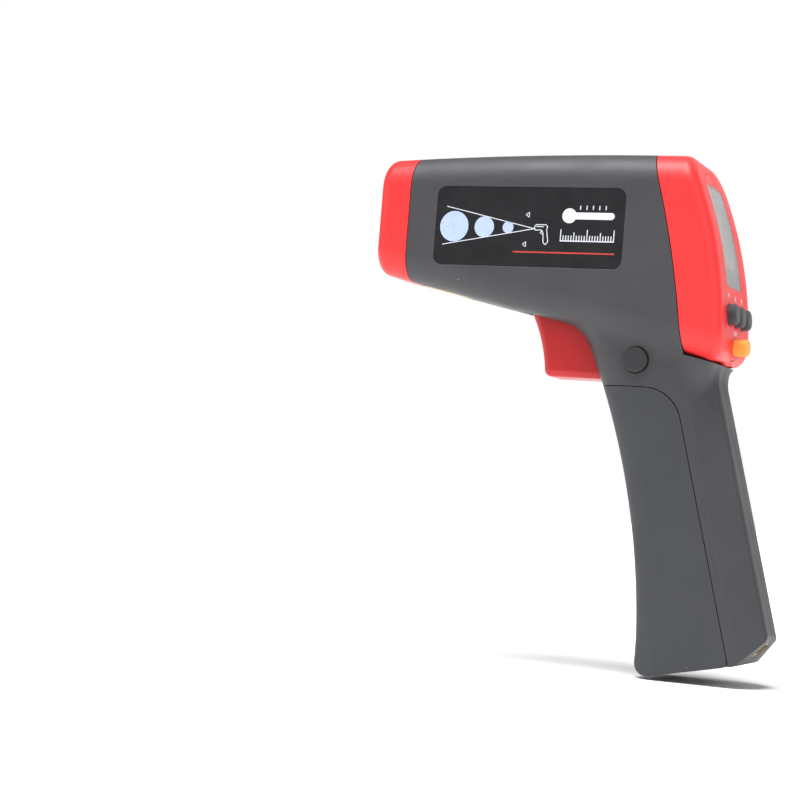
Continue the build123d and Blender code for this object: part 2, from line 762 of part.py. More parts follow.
with BuildPart() as controller_chip:
    add(block(cross_plane(-6, 66, -1), (9.0, 9.0), half_board, half_board + 1.4, 0.3))
keep("controller_chip", controller_chip.part)
with BuildPart() as buzzer:
    add(rod(cross_plane(9, 68), 6.0, half_board, half_board + 6.5))
    add(rod(cross_plane(9, 68), 1.0, half_board + 4, half_board + 7), mode=Mode.SUBTRACT)
keep("buzzer", buzzer.part)

arm_top_z = pivot[1] + 3.0
switch_low_z = arm_top_z + 1.5
switch_middle = 3.7
plunger_x = pivot[0] + switch_arm
with BuildPart() as microswitch:
    with Locations((plunger_x + 1.0, switch_middle, switch_low_z + 3.25)):
        Box(12.8, 5.7, 6.5)
    with Locations((plunger_x, switch_middle, switch_low_z)):
        Cylinder(1.1, 7.0, mode=Mode.SUBTRACT)
keep("microswitch", microswitch.part)
with BuildPart() as switch_plunger:
    with Locations((plunger_x, switch_middle, (arm_top_z + 0.08 + switch_low_z + 2.4) / 2)):
        Cylinder(1.0, switch_low_z + 2.4 - arm_top_z - 0.08)
keep("switch_plunger", switch_plunger.part)

# ---------------------------------------------------------------- trigger
trigger_low_z = 12.6
spring_z = 30.0
spring_start_x = 5.0
spring_end_x = 19.4
spring_line = Plane(origin=(0, 0, spring_z), x_dir=(0, 1, 0), z_dir=(1, 0, 0))
with BuildPart() as trigger:
    with BuildSketch(across):
        with BuildLine():
            brow = ThreePointArc((-19.1, 38.0), (-13.4, 25.5), (-11.0, trigger_low_z))
            Polyline(
                brow @ 1,
                (12.0, trigger_low_z),
                (13.8, 14.4),
                (7.5, 34.0),
                (pivot[0] + 12.0, pivot[1]),
                (pivot[0] + 12.0, arm_top_z),
                (pivot[0] + 1.0, arm_top_z),
                (pivot[0] - 3.6, pivot[1]),
                brow @ 0,
            )
        make_face()
        toe_point = vertices().sort_by(Axis.Y)[:2].sort_by(Axis.X)[0]
        fillet(toe_point, radius=2.6)
    extrude(amount=trigger_half_width, both=True)
    front_edges = trigger.edges().filter_by(lambda e: e.center().X < -9 and e.center().Z < 37)
    long_front = front_edges.filter_by(lambda e: abs(e.center().Y) > trigger_half_width - 0.1 and e.length > 3)
    fillet(long_front, radius=2.4)
    add(rod(cross_plane(*pivot), trigger_pin_radius + running, -20, 20), mode=Mode.SUBTRACT)
    add(rod(spring_line, 3.3, spring_start_x, 20), mode=Mode.SUBTRACT)
keep("trigger", trigger.part)
with BuildPart() as trigger_pin:
    add(rod(cross_plane(*pivot), trigger_pin_radius, -11.9, 11.9))
keep("trigger_pin", trigger_pin.part)
spring_seat = spring_line.offset(spring_start_x + 0.4)
keep("trigger_spring", spring(spring_seat, 2.4, 0.3, spring_end_x - spring_start_x - 0.8, 6))

# ---------------------------------------------------------------- battery door and its release
with BuildPart() as knuckle_space:
    add(rod(cross_plane(*hinge), hinge_inset, -30, 30))
corner = Plane(origin=(hinge[0], 0, hinge[1]), x_dir=base_run, z_dir=(0, -1, 0))
with BuildPart() as corner_waste:
    with BuildSketch(corner):
        with Locations((5, -5)):
            Rectangle(10, 10)
    extrude(amount=30, both=True)
    add(knuckle_space.part, mode=Mode.SUBTRACT)
tongue_inner = 13.6
tongue_outer = handle_half_width - wall - fit_gap
tongue_top = 12.3
tongue_low = 3.7
with BuildPart() as battery_door:
    add(handle_skin)
    add(door_outline(0), mode=Mode.INTERSECT)
    add(handle_room, mode=Mode.SUBTRACT)
    with BuildSketch(across):
        with Locations(hinge):
            Circle(hinge_inset - knuckle_relief)
        with BuildLine():
            foot_point = Vector(hinge[0], hinge[1]) - Vector(base_run.X, base_run.Z) * 6
            Polyline(
                (hinge[0], hinge[1] + 1.6),
                (foot_point.X, foot_point.Y - 1.0),
                (foot_point.X, foot_point.Y - 2.5),
                (hinge[0], hinge[1] - 2.5),
                close=True,
            )
        make_face()
    extrude(amount=knuckle_half_width, both=True)
    for side in (-1, 1):
        with BuildSketch(across.offset(-side * tongue_inner)):
            with Locations((26.5, (tongue_top + tongue_low) / 2)):
                Rectangle(7.0, tongue_top - tongue_low)
        extrude(amount=-side * (tongue_outer - tongue_inner))
        with BuildSketch(across.offset(-side * tongue_inner)):
            with Locations((26.5, (door_top_z + tongue_low) / 2)):
                Rectangle(7.0, door_top_z - tongue_low)
        extrude(amount=-side * (handle_half_width - wall + 0.5 - tongue_inner))
    add(corner_waste.part, mode=Mode.SUBTRACT)
    for side in (-1, 1):
        notch_middle = side * (lug_inner + lug_width / 2)
        notch_plane = Plane(origin=(hinge[0], notch_middle, hinge[1]), x_dir=(1, 0, 0), z_dir=(0, 1, 0))
        notch_reach = lug_width / 2 + lug_gap
        add(block(notch_plane, (6.2, 8.0), -notch_reach, notch_reach), mode=Mode.SUBTRACT)
    add(rod(cross_plane(*hinge), hinge_pin_radius + running, -lug_inner - 1, lug_inner + 1), mode=Mode.SUBTRACT)
keep("battery_door", battery_door.part)
with BuildPart() as hinge_pin:
    add(rod(cross_plane(*hinge), hinge_pin_radius, -lug_inner - 1.7, lug_inner + 1.7))
keep("hinge_pin", hinge_pin.part)
with BuildPart() as door_pad:
    with BuildSketch(battery_plane.offset(-14)):
        with Locations((0, battery_size[1] / 2 + 0.5 + 4)):
            Rectangle(15, 8)
    extrude(amount=28)
    add(handle_room, mode=Mode.INTERSECT)
keep("door_pad", door_pad.part)

inner_side = handle_half_width - wall
arm_inner = 12.0
arm_outer = 13.2
for name, side in {"release_button_left": -1, "release_button_right": 1}.items():
    seat = cross_plane(*release_at, side)
    with BuildPart() as release_button:
        add(rod(seat, release_radius, inner_side - 1.4, handle_half_width + release_proud))
        rim = release_button.faces().sort_by(Axis((0, 0, 0), (0, side, 0)))[-1]
        fillet(rim.edges(), radius=0.8)
        add(rod(seat, release_radius + 1.1, inner_side - 1.4, inner_side - 0.2))
        add(rod(seat, 2.2, arm_inner, inner_side - 1.4))
        with BuildSketch(seat.offset(arm_inner)):
            with Locations((0, -4.2)):
                Rectangle(3.0, 8.6)
        extrude(amount=arm_outer - arm_inner)
    keep(name, release_button.part)
release_seat = cross_plane(*release_at).offset(-arm_inner + 0.5)
keep("release_spring", spring(release_seat, 1.8, 0.3, 2 * arm_inner - 1.0, 8))

# ---------------------------------------------------------------- battery, cradle and leads
width, depth, tall = battery_size
terminal_spots = (-6.35, 6.35)
with BuildPart() as battery:
    with BuildSketch(battery_plane.offset(-tall / 2)):
        RectangleRounded(width, depth, 2.0)
    extrude(amount=tall)
    with BuildSketch(battery_top):
        with Locations((terminal_spots[0], 0)):
            Circle(2.9)
        with Locations((terminal_spots[1], 0)):
            RegularPolygon(4.2, 6)
    extrude(amount=2.6)
keep("battery", battery.part)
snap_top = 5.0
with BuildPart() as battery_snap:
    with BuildSketch(battery_top.offset(0.3)):
        RectangleRounded(25.5, 12.5, 4.0)
    extrude(amount=snap_top - 0.3)
    with BuildSketch(battery_top.offset(0.3)):
        with Locations((terminal_spots[0], 0)):
            Circle(3.0)
        with Locations((terminal_spots[1], 0)):
            Circle(4.35)
    extrude(amount=2.5, mode=Mode.SUBTRACT)
keep("battery_snap", battery_snap.part)

cradle_thick = 1.5
cradle_gap = 0.3
back_y = -depth / 2 - cradle_gap
with BuildPart() as battery_cradle:
    with BuildSketch(battery_plane.offset(-tall / 2 - cradle_gap - cradle_thick)):
        with Locations((0, back_y - cradle_thick / 2)):
            Rectangle(width + 2 * (cradle_gap + cradle_thick), cradle_thick)
        for side in (-1, 1):
            with Locations((side * (width / 2 + cradle_gap + cradle_thick / 2), back_y + 4)):
                Rectangle(cradle_thick, 8 + cradle_thick)
    extrude(amount=tall - 4)
    with BuildSketch(battery_plane.offset(-tall / 2 - cradle_gap - cradle_thick)):
        with Locations((0, back_y + 4)):
            Rectangle(width + 2 * cradle_gap, 8)
    extrude(amount=cradle_thick)
    for side in (-1, 1):
        with BuildSketch(battery_plane.offset(-14)):
            with Locations((side * 5, back_y - cradle_thick - 10)):
                Rectangle(1.6, 20)
        extrude(amount=24)
    add(handle_room, mode=Mode.INTERSECT)
    for spot in screw_seats:
        add(rod(cross_plane(*spot), boss_radius, -30, 30), mode=Mode.SUBTRACT)
keep("battery_cradle", battery_cradle.part)


def lead(points, radius):
    """An insulated lead along straight runs joined by arcs as large as the runs allow."""
    spots = [Vector(*point) for point in points]
    radii = []
    for before, here, after in zip(spots, spots[1:], spots[2:]):
        run = min((here - before).length, (after - here).length)
        turn = radians((here - before).get_angle(after - here))
        radii.append(0.45 * run / tan(turn / 2))
    print("lead radii", [round(r, 1) for r in radii])
    with BuildPart() as form:
        with BuildLine():
            route = FilletPolyline(*points, radius=radii)
        with BuildSketch(Plane(origin=route @ 0, z_dir=route % 0)):
            Circle(radius)
        sweep(path=route)
    return form.part


lead_radius = 0.7
for name, side in {"battery_lead_black": -1, "battery_lead_red": 1}.items():
    start = battery_top.offset(snap_top).origin + Vector(0, side * 4.0, 0)
    up = battery_plane.z_dir
    first = start + up * 11
    keep(
        name,
        lead(
            [
                tuple(start),
                tuple(first),
                (first.X + 2.5, side * 5.5, first.Z + 13),
                (39.0, side * 6.0, 8.0),
                (40.4, side * 5.0, 22.0),
                (38.5, side * 4.0, 36.0),
                (30.5, side * 2.5, 45.5),
                (20.5, side * (half_board + lead_radius), 50.5),
                (12.0, side * (half_board + lead_radius), 54.0),
            ],
            lead_radius,
        ),
    )

# ---------------------------------------------------------------- ribbon
with BuildPart() as board_socket:
    add(block(cross_plane(22, 64), (4.0, 10.0), half_board, half_board + 2.4))
keep("board_socket", board_socket.part)
with BuildPart() as display_socket:
    with BuildSketch(lcd_plane.offset(-board_depth - board_thick - 2.4)):
        with Locations((2.2, -2.0)):
            Rectangle(4.0, 10.0)
    extrude(amount=2.4)
keep("display_socket", display_socket.part)
with BuildPart() as ribbon:
    with Locations(((24.0 + 38.0) / 2, half_board + 1.4, 63.0)):
        Box(14.0, 0.3, 8.0)
    add(slab([(lcd_plane.origin.X, 20), (60, 20), (60, 100), (lcd_plane.origin.X, 100)], 20), mode=Mode.SUBTRACT)
    add(block(lcd_plane, (60, 80), -board_depth - board_thick - 2.4, 20), mode=Mode.SUBTRACT)
keep("ribbon", ribbon.part)

# ---------------------------------------------------------------- mount and labels
with BuildPart() as tripod_insert:
    add(rod(socket_plane, insert_radius, -insert_length, -0.2))
    add(rod(socket_plane, socket_radius, -socket_depth, 1), mode=Mode.SUBTRACT)
keep("tripod_insert", tripod_insert.part)
for name, side in {"left_label": -1, "right_label": 1}.items():
    with BuildPart() as label:
        add(block(side_plane(side, *label_middle, label_recess), (label_size[0] - 0.3, label_size[1] - 0.3),
                  0, label_thick, label_round))
    keep(name, label.part)
sticker_x = -53.0
under_slope = (low_z(0) - low_z(-10)) / 10
sticker_spot = (sticker_x, 0, low_z(sticker_x))
sticker_plane = Plane(origin=sticker_spot, x_dir=(1, 0, under_slope), z_dir=(under_slope, 0, -1))
with BuildPart() as underside_label:
    add(block(sticker_plane, (15.5, 16.0), 0, 0.2, 1.0))
keep("underside_label", underside_label.part)

# ---------------------------------------------------------------- common shift and files
low = Vector(min(part.bounding_box().min.X for part in pieces.values()), 0,
             min(part.bounding_box().min.Z for part in pieces.values()))
high_x = max(part.bounding_box().max.X for part in pieces.values())
shift = Location((-(low.X + high_x) / 2, 0, -low.Z))
os.makedirs("parts", exist_ok=True)
for name, part in pieces.items():
    moved = part.moved(shift)
    moved.label = name
    export_step(moved, f"parts/{name}.step")
print("shift", shift.position)
print("hinge", (Vector(hinge[0], 0, hinge[1]) + shift.position))
print("pivot", (Vector(pivot[0], 0, pivot[1]) + shift.position))
print("socket", socket_spot + shift.position, heel_out)
print("key axis", key_row.z_dir, "orange axis", orange_seat.z_dir)
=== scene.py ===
import bpy
import bmesh
from math import asin, cos, pi, radians, sin, sqrt
from mathutils import Matrix, Vector


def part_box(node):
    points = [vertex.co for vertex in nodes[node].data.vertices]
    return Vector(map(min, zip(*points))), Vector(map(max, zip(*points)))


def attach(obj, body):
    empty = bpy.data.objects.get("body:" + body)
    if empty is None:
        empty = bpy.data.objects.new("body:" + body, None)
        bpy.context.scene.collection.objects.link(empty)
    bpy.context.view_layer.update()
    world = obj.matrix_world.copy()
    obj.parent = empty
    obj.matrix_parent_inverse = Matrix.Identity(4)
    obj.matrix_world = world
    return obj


# Looks of a pistol-shaped infrared thermometer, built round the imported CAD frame, in metres.

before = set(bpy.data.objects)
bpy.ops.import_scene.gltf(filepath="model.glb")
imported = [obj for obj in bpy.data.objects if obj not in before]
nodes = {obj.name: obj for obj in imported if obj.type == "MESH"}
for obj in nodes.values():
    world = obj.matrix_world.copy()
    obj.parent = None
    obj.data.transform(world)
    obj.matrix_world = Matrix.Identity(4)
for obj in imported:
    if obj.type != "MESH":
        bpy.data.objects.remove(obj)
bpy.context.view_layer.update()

MM = 0.001

# The drawing's zero point, found from the trigger's pin.
PIN_FROM_ZERO = Vector((-12.0, 0, 43.6)) * MM
pin_low, pin_high = (Vector(corner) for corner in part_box("trigger_pin"))
zero = (pin_low + pin_high) / 2 - PIN_FROM_ZERO


# ---------------------------------------------------------------- materials
def srgb(red, green, blue):
    """A linear colour from 0-255 screen values."""
    channels = []
    for value in (red, green, blue):
        share = value / 255
        channels.append(share / 12.92 if share <= 0.04045 else ((share + 0.055) / 1.055) ** 2.4)
    return (*channels, 1.0)


class Shader:
    """A Principled material with its own node tree, and short calls that add nodes to it."""

    def __init__(self, name):
        self.material = bpy.data.materials.new(name)
        self.material.use_nodes = True
        self.tree = self.material.node_tree
        self.shader = self.tree.nodes["Principled BSDF"]
        self.place = self.node("ShaderNodeTexCoord").outputs["Object"]

    def node(self, kind, **settings):
        made = self.tree.nodes.new(kind)
        for key, value in settings.items():
            setattr(made, key, value)
        return made

    def join(self, source, target):
        self.tree.links.new(source, target)

    def noise(self, scale, detail=2.0, roughness=0.5, stretch=None):
        made = self.node("ShaderNodeTexNoise")
        made.inputs["Scale"].default_value = scale
        made.inputs["Detail"].default_value = detail
        made.inputs["Roughness"].default_value = roughness
        if stretch:
            mapping = self.node("ShaderNodeMapping")
            mapping.inputs["Scale"].default_value = stretch
            self.join(self.place, mapping.inputs["Vector"])
            self.join(mapping.outputs["Vector"], made.inputs["Vector"])
        else:
            self.join(self.place, made.inputs["Vector"])
        return made.outputs["Fac"]

    def ramp(self, source, low, high, start=0.0, end=1.0):
        made = self.node("ShaderNodeMapRange")
        made.inputs["From Min"].default_value = low
        made.inputs["From Max"].default_value = high
        made.inputs["To Min"].default_value = start
        made.inputs["To Max"].default_value = end
        self.join(source, made.inputs["Value"])
        return made.outputs["Result"]

    def blend(self, factor, first, second):
        made = self.node("ShaderNodeMix", data_type="RGBA")
        for socket, value in ((made.inputs[6], first), (made.inputs[7], second)):
            if isinstance(value, tuple):
                socket.default_value = value
            else:
                self.join(value, socket)
        if isinstance(factor, float):
            made.inputs[0].default_value = factor
        else:
            self.join(factor, made.inputs[0])
        return made.outputs[2]

    def maths(self, operation, first, second):
        made = self.node("ShaderNodeMath", operation=operation)
        for socket, value in zip(made.inputs, (first, second)):
            if isinstance(value, (int, float)):
                socket.default_value = value
            else:
                self.join(value, socket)
        return made.outputs[0]

    def edges(self, radius):
        """1 along rounded-over edges and 0 on the flats."""
        bevel = self.node("ShaderNodeBevel", samples=4)
        bevel.inputs["Radius"].default_value = radius
        true_normal = self.node("ShaderNodeNewGeometry").outputs["Normal"]
        dot = self.node("ShaderNodeVectorMath", operation="DOT_PRODUCT")
        self.join(bevel.outputs["Normal"], dot.inputs[0])
        self.join(true_normal, dot.inputs[1])
        return self.ramp(dot.outputs["Value"], 0.985, 0.86), bevel.outputs["Normal"]

    def bump(self, height, distance, strength, normal=None):
        """Turns a height into small relief over the whole shader."""
        made = self.node("ShaderNodeBump")
        made.inputs["Strength"].default_value = strength
        made.inputs["Distance"].default_value = distance
        self.join(height, made.inputs["Height"])
        if normal is not None:
            self.join(normal, made.inputs["Normal"])
        self.join(made.outputs["Normal"], self.shader.inputs["Normal"])

    def set(self, **values):
        for key, value in values.items():
            self.shader.inputs[key.replace("_", " ")].default_value = value


def moulded(name, colour, roughness=0.55, grain=0.5, specks=0.0, wear=0.25, sheen=0.0,
            mottling=0.06, specular=0.5, edge_radius=0.00035, painted_shade=0.0):
    """Moulded plastic: fine spark grain, soft tone changes, paler rounded edges and a few specks.
    With the last argument set, shade is painted into the colour: the places that are shut in by their
    neighbours are darker."""
    made = Shader(name)
    dark = tuple(c * (1 - 1.2 * mottling) for c in colour[:3]) + (1.0,)
    light = tuple(min(1.0, c * (1 + 1.6 * mottling) + 0.006 * mottling) for c in colour[:3]) + (1.0,)
    cloud = made.ramp(made.noise(38.0, 4.0, 0.6), 0.32, 0.7)
    tone = made.blend(cloud, dark, light)
    fine = made.noise(2600.0, 2.0, 0.6)
    peak = made.ramp(fine, 0.56, 0.8, 0.0, 0.5)
    tone = made.blend(peak, tone, tuple(min(1.0, c * 1.5 + 0.004) for c in colour[:3]) + (1.0,))
    edge, soft_normal = made.edges(edge_radius)
    worn = made.maths("MULTIPLY", edge, made.ramp(made.noise(160.0, 3.0), 0.35, 0.65, 0.35 * wear, wear))
    pale = tuple(min(1.0, c * 1.7 + 0.03) for c in colour[:3]) + (1.0,)
    tone = made.blend(worn, tone, pale)
    # painted shade: ambient occlusion darkens the colour in recesses and between parts
    if painted_shade > 0:
        nook = made.node("ShaderNodeAmbientOcclusion", samples=8)
        nook.inputs["Distance"].default_value = 0.035
        shade = made.ramp(nook.outputs["AO"], 0.35, 1.0, painted_shade, 0.0)
        tone = made.blend(shade, tone, tuple(c * 0.3 for c in colour[:3]) + (1.0,))
    if specks > 0:
        cells = made.node("ShaderNodeTexVoronoi", feature="F1")
        cells.inputs["Scale"].default_value = 210.0
        made.join(made.place, cells.inputs["Vector"])
        near = made.ramp(cells.outputs["Distance"], 0.075, 0.03)
        few = made.node("ShaderNodeSeparateColor")
        made.join(cells.outputs["Color"], few.inputs["Color"])
        chosen = made.ramp(few.outputs["Red"], 0.90, 0.93)
        dust = made.maths("MULTIPLY", made.maths("MULTIPLY", near, chosen), specks)
        tone = made.blend(dust, tone, srgb(190, 186, 178))
    made.join(tone, made.shader.inputs["Base Color"])
    rough = made.ramp(made.noise(70.0, 3.0, 0.55), 0.3, 0.7, roughness - 0.05, roughness + 0.06)
    rough = made.maths("SUBTRACT", rough, made.maths("MULTIPLY", worn, 0.25))
    made.join(rough, made.shader.inputs["Roughness"])
    made.set(Specular_IOR_Level=specular, Sheen_Weight=sheen, Sheen_Roughness=0.5)
    made.bump(fine, 0.00006, grain, soft_normal)
    return made.material


def metal(name, colour, roughness=0.3, brushed=(1.0, 1.0, 1.0), wear=0.4):
    """Plain metal with fine drawing marks and brighter edges."""
    made = Shader(name)
    marks = made.noise(900.0, 4.0, 0.7, brushed)
    dull = tuple(c * 0.72 for c in colour[:3]) + (1.0,)
    tone = made.blend(made.ramp(marks, 0.3, 0.7), dull, colour)
    edge, soft_normal = made.edges(0.0002)
    bright = tuple(min(1.0, c * 1.3) for c in colour[:3]) + (1.0,)
    tone = made.blend(made.maths("MULTIPLY", edge, wear), tone, bright)
    made.join(tone, made.shader.inputs["Base Color"])
    made.join(made.ramp(marks, 0.3, 0.7, roughness - 0.07, roughness + 0.12), made.shader.inputs["Roughness"])
    made.set(Metallic=1.0)
    made.bump(marks, 0.00003, 0.4, soft_normal)
    return made.material


def clear(name, colour, roughness=0.04, ior=1.49):
    """Clear moulded plastic or glass with faint smears."""
    made = Shader(name)
    smear = made.noise(120.0, 4.0, 0.7, (1.0, 1.0, 0.25))
    dull = tuple(0.94 * c for c in colour[:3]) + (1.0,)
    made.join(made.blend(made.ramp(smear, 0.35, 0.7), colour, dull), made.shader.inputs["Base Color"])
    made.join(made.ramp(smear, 0.35, 0.7, roughness, roughness + 0.07), made.shader.inputs["Roughness"])
    made.set(Transmission_Weight=1.0, IOR=ior)
    made.bump(smear, 0.00002, 0.12)
    return made.material


def print_ink(name, colour, roughness=0.42):
    """Screen-printed ink: slightly uneven, with tiny pinholes."""
    made = Shader(name)
    patch = made.noise(900.0, 3.0, 0.65)
    thin = tuple(c * 0.86 for c in colour[:3]) + (1.0,)
    made.join(made.blend(made.ramp(patch, 0.35, 0.62), thin, colour), made.shader.inputs["Base Color"])
    made.join(made.ramp(patch, 0.3, 0.7, roughness - 0.06, roughness + 0.1), made.shader.inputs["Roughness"])
    made.bump(patch, 0.00001, 0.3)
    return made.material


def label_film(name, colour):
    """Dark printed film over adhesive: satin, with fine sparkle and a faint orange-peel."""
    made = Shader(name)
    fine = made.noise(3200.0, 2.0, 0.6)
    wave = made.noise(140.0, 2.0, 0.5)
    tone = made.blend(made.ramp(wave, 0.35, 0.65), tuple(c * 0.86 for c in colour[:3]) + (1.0,), colour)
    sparkle = made.ramp(fine, 0.62, 0.75, 0.0, 0.3)
    tone = made.blend(sparkle, tone, srgb(96, 96, 98))
    made.join(tone, made.shader.inputs["Base Color"])
    made.join(made.ramp(wave, 0.3, 0.7, 0.36, 0.46), made.shader.inputs["Roughness"])
    made.set(Specular_IOR_Level=0.3)
    both = made.maths("ADD", made.maths("MULTIPLY", fine, 0.35), wave)
    made.bump(both, 0.00004, 0.35)
    return made.material


def board(name, colour):
    """Solder-masked circuit board with traces showing through as bump and tone."""
    made = Shader(name)
    cells = made.node("ShaderNodeTexVoronoi", feature="DISTANCE_TO_EDGE")
    cells.inputs["Scale"].default_value = 420.0
    made.join(made.place, cells.inputs["Vector"])
    trace = made.ramp(cells.outputs["Distance"], 0.03, 0.06)
    tone = made.blend(trace, tuple(min(1.0, c * 1.9) for c in colour[:3]) + (1.0,), colour)
    made.join(tone, made.shader.inputs["Base Color"])
    made.join(made.ramp(made.noise(200.0), 0.3, 0.7, 0.28, 0.4), made.shader.inputs["Roughness"])
    made.bump(trace, 0.00004, 0.5)
    return made.material


BODY = srgb(57, 56, 60)
DOOR = srgb(58, 60, 64)
RED = srgb(236, 46, 47)

body_soft = moulded("body_soft_touch", BODY, 0.52, 0.55, specks=0.55, wear=0.35, specular=0.55,
                    mottling=0.07)
door_soft = moulded("door_soft_touch", DOOR, 0.6, 0.55, specks=0.5, wear=0.4, specular=0.42,
                    mottling=0.06)
button_dark = moulded("button_dark", srgb(40, 40, 43), 0.5, 0.6, specks=0.3, wear=0.6, mottling=0.05)
bezel_red = moulded("bezel_red", RED, 0.42, 0.35, specks=0.12, wear=0.16, mottling=0.03,
                    specular=0.45)
# the trigger has painted shade where it sits shut in under the body
trigger_red = moulded("trigger_red", srgb(198, 33, 36), 0.38, 0.3, specks=0.1, wear=0.2,
                      mottling=0.03, specular=0.45, painted_shade=0.8)
key_dark = moulded("key_dark", srgb(56, 57, 60), 0.7, 0.7, wear=0.3, sheen=0.1, mottling=0.08,
                   edge_radius=0.0005)
key_orange = moulded("key_orange_rubber", srgb(255, 162, 66), 0.6, 0.5, wear=0.2, mottling=0.05,
                     edge_radius=0.0005)
inner_black = moulded("inner_black", srgb(26, 26, 28), 0.65, 0.4, wear=0.25)
hood_black = moulded("hood_black", srgb(20, 20, 22), 0.8, 0.8, wear=0.12, specular=0.2)
inner_white = moulded("inner_white", srgb(222, 222, 216), 0.5, 0.2, wear=0.1, mottling=0.03)
cell_grey = moulded("display_cell", srgb(205, 203, 202), 0.3, 0.05, wear=0.0, mottling=0.03)
mat_grey = moulded("keymat_grey", srgb(108, 108, 112), 0.75, 0.6, wear=0.1)
foam_dark = moulded("pad_foam", srgb(58, 58, 60), 0.95, 1.0, wear=0.05, sheen=0.4, mottling=0.2)
plunger_red = moulded("plunger_red", srgb(170, 40, 40), 0.45, 0.2)
wire_black = moulded("wire_black", srgb(24, 24, 25), 0.4, 0.1, wear=0.05)
wire_red = moulded("wire_red", srgb(178, 26, 26), 0.4, 0.1, wear=0.05)
battery_skin = moulded("battery_sleeve", srgb(46, 50, 60), 0.32, 0.1, wear=0.3, specular=0.6)
screw_black = metal("screw_black", srgb(70, 70, 72), 0.42)
bright_steel = metal("bright_steel", srgb(196, 196, 198), 0.24)
brass = metal("plain_brass", srgb(205, 170, 98), 0.3)
window_clear = clear("window_clear", srgb(246, 246, 246), 0.2)
lens_clear = clear("lens_clear", srgb(206, 216, 226), 0.12, 1.5)
laser_clear = clear("laser_clear", srgb(215, 210, 206))
label_dark = label_film("label_film_dark", srgb(27, 27, 30))
sticker_pale = label_film("sticker_pale", srgb(206, 188, 148))
board_green = board("board_green", srgb(28, 84, 50))
ink_blue = print_ink("ink_pale_blue", srgb(184, 202, 250))
ink_white = print_ink("ink_white", srgb(226, 229, 238))
ink_red = print_ink("ink_red", srgb(196, 62, 54))
segment_dark = print_ink("segment_dark", srgb(186, 185, 184), 0.3)

looks = {
    body_soft: ["left_shell", "right_shell"],
    door_soft: ["battery_door"],
    button_dark: ["release_button_left", "release_button_right"],
    bezel_red: ["front_bezel", "rear_bezel", "display_faceplate"],
    trigger_red: ["trigger"],
    key_dark: ["key_left", "key_middle", "key_right"],
    key_orange: ["key_orange"],
    inner_black: ["battery_cradle", "controller_chip", "buzzer", "microswitch", "battery_snap",
                  "ribbon"],
    hood_black: ["optics_tube"],
    inner_white: ["lcd_backlight", "lcd_frame", "display_socket", "board_socket"],
    cell_grey: ["lcd_module"],
    mat_grey: ["keymat"],
    foam_dark: ["door_pad"],
    plunger_red: ["switch_plunger"],
    wire_black: ["battery_lead_black"],
    wire_red: ["battery_lead_red"],
    battery_skin: ["battery"],
    screw_black: ["case_screws"],
    bright_steel: ["lens_ring", "thermopile", "trigger_pin", "hinge_pin", "trigger_spring",
                   "release_spring"],
    brass: ["laser_module", "tripod_insert"],
    window_clear: ["lcd_window"],
    lens_clear: ["ir_lens"],
    laser_clear: ["laser_window"],
    label_dark: ["left_label", "right_label"],
    sticker_pale: ["underside_label"],
    board_green: ["display_board", "main_board", "sensor_board"],
}
for material, names in looks.items():
    for name in names:
        node = nodes[name]
        for spot in node.material_slots:
            spot.link = "OBJECT"
            spot.material = material


# ---------------------------------------------------------------- places worked out from the frame
class Flat:
    """A flat place on the object: u and v run along it, out points away from the surface."""

    def __init__(self, origin, u, v):
        self.origin = Vector(origin)
        self.u = Vector(u).normalized()
        self.v = Vector(v).normalized()
        self.out = self.u.cross(self.v)

    def at(self, u, v, out=0.0):
        return self.origin + self.u * u + self.v * v + self.out * out


def add_piece(name, mesh, material, body="housing", smooth=False):
    """Links a finished mesh as a piece that rides on a body."""
    piece = bpy.data.objects.new(name, mesh)
    bpy.context.scene.collection.objects.link(piece)
    mesh.materials.append(material)
    for polygon in mesh.polygons:
        polygon.use_smooth = smooth
    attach(piece, body)
    return piece


def printed(name, flat, outlines, material, height=0.00005, sink=0.00002, body="housing"):
    """Raised ink: each outline of (u, v) points becomes a thin solid, sunk a little into the flat."""
    form = bmesh.new()
    for outline in outlines:
        low = [form.verts.new(flat.at(u, v, -sink)) for u, v in outline]
        high = [form.verts.new(flat.at(u, v, height)) for u, v in outline]
        form.faces.new(high)
        form.faces.new(low[::-1])
        count = len(outline)
        for i in range(count):
            j = (i + 1) % count
            form.faces.new((low[i], low[j], high[j], high[i]))
    bmesh.ops.recalc_face_normals(form, faces=form.faces)
    mesh = bpy.data.meshes.new(name)
    form.to_mesh(mesh)
    form.free()
    return add_piece(name, mesh, material, body)


def disc(u, v, radius, count=72):
    """A circle about (u, v)."""
    return [(u + radius * cos(2 * pi * i / count), v + radius * sin(2 * pi * i / count))
            for i in range(count)]


def stroke(start, end, width):
    """A straight line of ink with square ends."""
    along = Vector((end[0] - start[0], end[1] - start[1])).normalized()
    side = Vector((-along.y, along.x)) * width / 2
    corners = (Vector(start) - side, Vector(end) - side, Vector(end) + side, Vector(start) + side)
    return [tuple(corner) for corner in corners]


def strokes(points, width):
    """A run of lines of ink through the points."""
    return [stroke(a, b, width) for a, b in zip(points, points[1:])]


def rounded(u, v, wide, tall, radius, count=8):
    """A rectangle with round corners about (u, v)."""
    outline = []
    for index, (su, sv) in enumerate(((1, 1), (-1, 1), (-1, -1), (1, -1))):
        for step in range(count + 1):
            angle = pi / 2 * (index + step / count)
            outline.append((u + su * (wide / 2 - radius) + radius * cos(angle),
                            v + sv * (tall / 2 - radius) + radius * sin(angle)))
    return outline


def thermometer(u, v, bulb, reach, half, count=32):
    """The outline of a lying thermometer: a bulb about (u, v) and a stem that ends reach further on."""
    opening = asin(half / bulb)
    outline = []
    for step in range(count + 1):
        angle = opening + (2 * pi - 2 * opening) * step / count
        outline.append((u + bulb * cos(angle), v + bulb * sin(angle)))
    for step in range(9):
        angle = -pi / 2 + pi * step / 8
        outline.append((u + reach - half + half * cos(angle), v + half * sin(angle)))
    return outline


# ---------------------------------------------------------------- side labels
LABEL_THICK = 0.35 * MM


